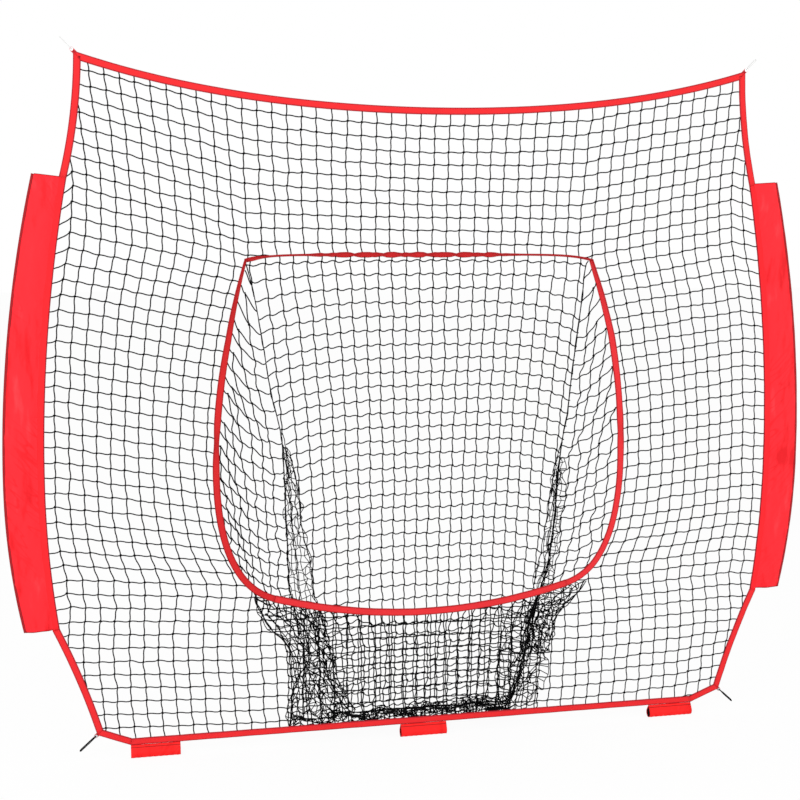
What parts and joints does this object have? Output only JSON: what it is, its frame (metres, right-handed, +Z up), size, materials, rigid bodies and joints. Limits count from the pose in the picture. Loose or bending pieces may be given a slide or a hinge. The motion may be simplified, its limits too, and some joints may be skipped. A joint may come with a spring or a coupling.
{
  "type": "pitching target net",
  "caption": "Square sports net with a framed opening and a slack ball pocket behind it, side sleeves for bow poles, base sleeves and corner loops.",
  "frame": {"origin": "middle of the centre base sleeve's bore, in the plane of the net", "axes": "+X across the net, +Y from the pitcher's side through the opening into the pocket, +Z up"},
  "size_m": [2.618, 0.1291, 2.2186],
  "materials": {
    "netting": "knotted black polyester twine",
    "border": "folded woven binding tape",
    "trim": "dark woven binding tape",
    "sleeves": "bright coated nylon cloth",
    "lining": "black nylon cloth",
    "eyelets": "small rolled eyelet",
    "low_loops": "braided elastic cord",
    "top_loops": "thin pale elastic cord"
  },
  "bodies": {
    "net": {"net_left": "netting", "net_right": "netting", "net_above_target": "netting", "net_below_target": "netting", "top_border": "border", "bottom_border": "border", "left_upper_border": "border", "left_sleeve_seam": "border", "left_lower_border": "border", "left_corner_border": "border", "right_upper_border": "border", "right_sleeve_seam": "border", "right_lower_border": "border", "right_corner_border": "border", "left_sleeve_front": "sleeves", "left_sleeve_back": "sleeves", "left_sleeve_hem": "trim", "right_sleeve_front": "sleeves", "right_sleeve_back": "sleeves", "right_sleeve_hem": "trim", "base_sleeve_centre": "sleeves", "base_lining_centre": "lining", "target_rim_top": "trim", "target_rim_left": "trim", "target_rim_right": "trim", "target_rim_foot": "trim", "pocket_front": "netting", "low_left_tab": "border", "low_right_tab": "border", "top_left_tab": "border", "top_right_tab": "border", "low_left_eyelet": "eyelets", "low_right_eyelet": "eyelets", "top_left_eyelet": "eyelets", "top_right_eyelet": "eyelets"},
    "pocket": {"pocket_back": "netting", "pocket_left_side": "netting", "pocket_right_side": "netting", "pocket_floor": "netting", "pocket_left_seam": "netting", "pocket_right_seam": "netting", "pocket_hem_cord": "netting"},
    "base_sleeve_left": {"base_sleeve_left": "sleeves", "base_lining_left": "lining"},
    "base_sleeve_right": {"base_sleeve_right": "sleeves", "base_lining_right": "lining"},
    "low_left_loop": {"low_left_loop": "low_loops"},
    "low_right_loop": {"low_right_loop": "low_loops"},
    "top_left_loop": {"top_left_loop": "top_loops"},
    "top_right_loop": {"top_right_loop": "top_loops"}
  },
  "joints": [
    {"name": "pocket_swing", "type": "hinge", "parent": "net", "child": "pocket", "pos_m": [0, 0.0023, 1.5701], "axis": [1, 0, 0], "range_deg": [0, 8], "deforming": ["pocket_left_side", "pocket_right_side", "pocket_floor"]},
    {"name": "base_sleeve_left_fold", "type": "hinge", "parent": "net", "child": "base_sleeve_left", "pos_m": [-0.8725, 0, 0.02625], "axis": [1, 0, 0], "range_deg": [-60, 60]},
    {"name": "base_sleeve_right_fold", "type": "hinge", "parent": "net", "child": "base_sleeve_right", "pos_m": [0.8725, 0, 0.02625], "axis": [1, 0, 0], "range_deg": [-60, 60]},
    {"name": "low_left_loop_swivel", "type": "hinge", "parent": "net", "child": "low_left_loop", "pos_m": [-1.05646, 0.0031, 0.06409], "axis": [0, 1, 0], "range_deg": [-75, 75]},
    {"name": "low_right_loop_swivel", "type": "hinge", "parent": "net", "child": "low_right_loop", "pos_m": [1.05646, 0.0031, 0.06409], "axis": [0, 1, 0], "range_deg": [-75, 75]},
    {"name": "top_left_loop_swivel", "type": "hinge", "parent": "net", "child": "top_left_loop", "pos_m": [-1.07117, 0.0031, 2.16842], "axis": [0, 1, 0], "range_deg": [-75, 75]},
    {"name": "top_right_loop_swivel", "type": "hinge", "parent": "net", "child": "top_right_loop", "pos_m": [1.07117, 0.0031, 2.16842], "axis": [0, 1, 0], "range_deg": [-75, 75]}
  ]
}
